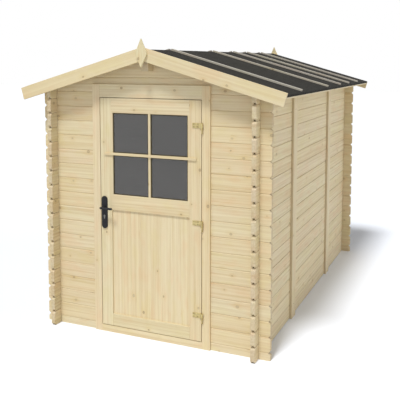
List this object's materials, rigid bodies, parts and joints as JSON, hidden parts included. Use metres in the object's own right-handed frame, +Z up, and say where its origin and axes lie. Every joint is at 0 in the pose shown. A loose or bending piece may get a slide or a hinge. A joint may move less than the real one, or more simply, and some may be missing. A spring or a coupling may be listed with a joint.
{
  "type": "wooden garden shed",
  "caption": "Pale timber garden shed of interlocking wall boards with crossed corners, a low felted gable roof, bargeboards, finials and a half-glazed framed door.",
  "frame": {"origin": "ground level, middle of the floor plan", "axes": "+Z up, +Y from the door wall to the rear wall, +X to the right as seen facing the door"},
  "size_m": [2.281, 3.396, 2.3965],
  "materials": {
    "wall_wood": "planed pale spruce, bare",
    "batten_wood": "planed pale spruce, bare",
    "roof_wood": "planed pale spruce, bare",
    "felt": "black mineral roofing felt",
    "lath_wood": "sawn pale softwood, bare",
    "barge_wood": "planed pale spruce, bare",
    "frame_wood": "planed pale spruce, bare",
    "floor_wood": "planed pale spruce, bare",
    "joist_wood": "sawn softwood",
    "zinc_metal": "yellow zinc plated",
    "door_wood": "planed pale spruce, bare",
    "panel_wood": "planed pale spruce, bare",
    "glass": "clear float glass",
    "seal_rubber": "dark brown glazing seal",
    "black_metal": "black powder coat, satin",
    "lock_brass": "satin nickel brass"
  },
  "bodies": {
    "shed": {"right_side_wall": "wall_wood", "left_side_wall": "wall_wood", "front_wall_left": "wall_wood", "front_wall_right": "wall_wood", "front_gable": "wall_wood", "rear_wall": "wall_wood", "right_wall_battens": "batten_wood", "left_wall_battens": "batten_wood", "ridge_purlin": "roof_wood", "right_roof_boards": "roof_wood", "left_roof_boards": "roof_wood", "right_roof_felt": "felt", "left_roof_felt": "felt", "right_roof_battens": "lath_wood", "left_roof_battens": "lath_wood", "right_eave_strip": "roof_wood", "left_eave_strip": "roof_wood", "front_right_bargeboard": "barge_wood", "front_left_bargeboard": "barge_wood", "rear_right_bargeboard": "barge_wood", "rear_left_bargeboard": "barge_wood", "front_finial": "barge_wood", "rear_finial": "barge_wood", "left_jamb": "frame_wood", "right_jamb": "frame_wood", "door_head": "frame_wood", "threshold": "frame_wood", "floor_boards": "floor_wood", "floor_joists": "joist_wood", "hinge_pintles": "zinc_metal"},
    "door": {"lock_stile": "door_wood", "hinge_stile": "door_wood", "top_rail": "door_wood", "middle_rail": "door_wood", "bottom_rail": "door_wood", "door_panel": "panel_wood", "door_glass": "glass", "window_beads": "door_wood", "glazing_bars": "door_wood", "window_seals": "seal_rubber", "hinge_straps": "zinc_metal", "handle_plates": "black_metal", "lock_cylinder": "lock_brass"},
    "lever": {"lever_handle": "black_metal"}
  },
  "joints": [
    {"name": "door_swing", "type": "hinge", "parent": "shed", "child": "door", "pos_m": [0.454, -1.582, 1], "axis": [0, 0, 1], "range_deg": [0, 165]},
    {"name": "lever_turn", "type": "hinge", "parent": "door", "child": "lever", "pos_m": [-0.411, -1.55, 1.0464], "axis": [0, 1, 0], "range_deg": [0, 40], "stiffness_Nm_per_rad": 1, "springref_deg": -28.65}
  ]
}
